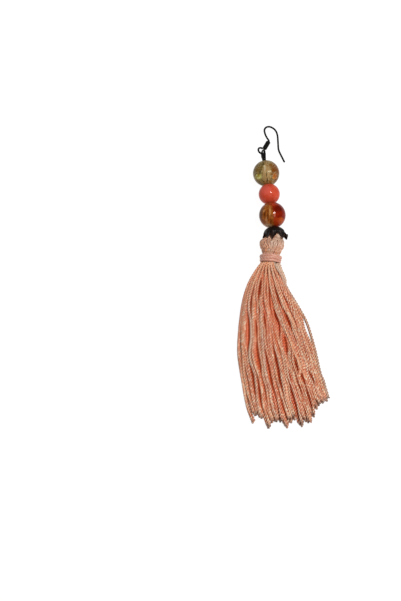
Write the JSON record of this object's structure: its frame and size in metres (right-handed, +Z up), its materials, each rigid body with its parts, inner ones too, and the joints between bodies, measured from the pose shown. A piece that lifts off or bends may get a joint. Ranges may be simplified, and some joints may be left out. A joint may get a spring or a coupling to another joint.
{
  "type": "tassel earring",
  "caption": "Drop earring for a pierced ear: bent wire hook, round beads on a wire, petalled metal cap and a long twisted-cord tassel, lying on its back.",
  "frame": {"origin": "bottom centre of the bounding box, on the surface that the earring lies on", "axes": "+Y from the tassel's ends to the top of the hook, +Z up from the surface, +X to the side that the hook's free end is on"},
  "size_m": [0.03, 0.1262, 0.01],
  "materials": {
    "ear_hook": "black gunmetal plating, satin",
    "hook_coil": "black gunmetal plating, satin",
    "bead_wire": "black gunmetal plating, satin",
    "bead_yellow": "crackled glass, polished",
    "bead_coral": "polished",
    "bead_amber": "crackled glass, polished",
    "bead_cap": "blackened metal, worn satin",
    "tassel": "twisted cord with a soft sheen",
    "neck_wrap": "twisted cord with a soft sheen"
  },
  "bodies": {
    "root": {"ear_hook": "ear_hook", "hook_coil": "hook_coil", "bead_wire": "bead_wire", "bead_yellow": "bead_yellow", "bead_coral": "bead_coral", "bead_amber": "bead_amber", "bead_cap": "bead_cap", "tassel": "tassel", "neck_wrap": "neck_wrap"}
  },
  "joints": []
}
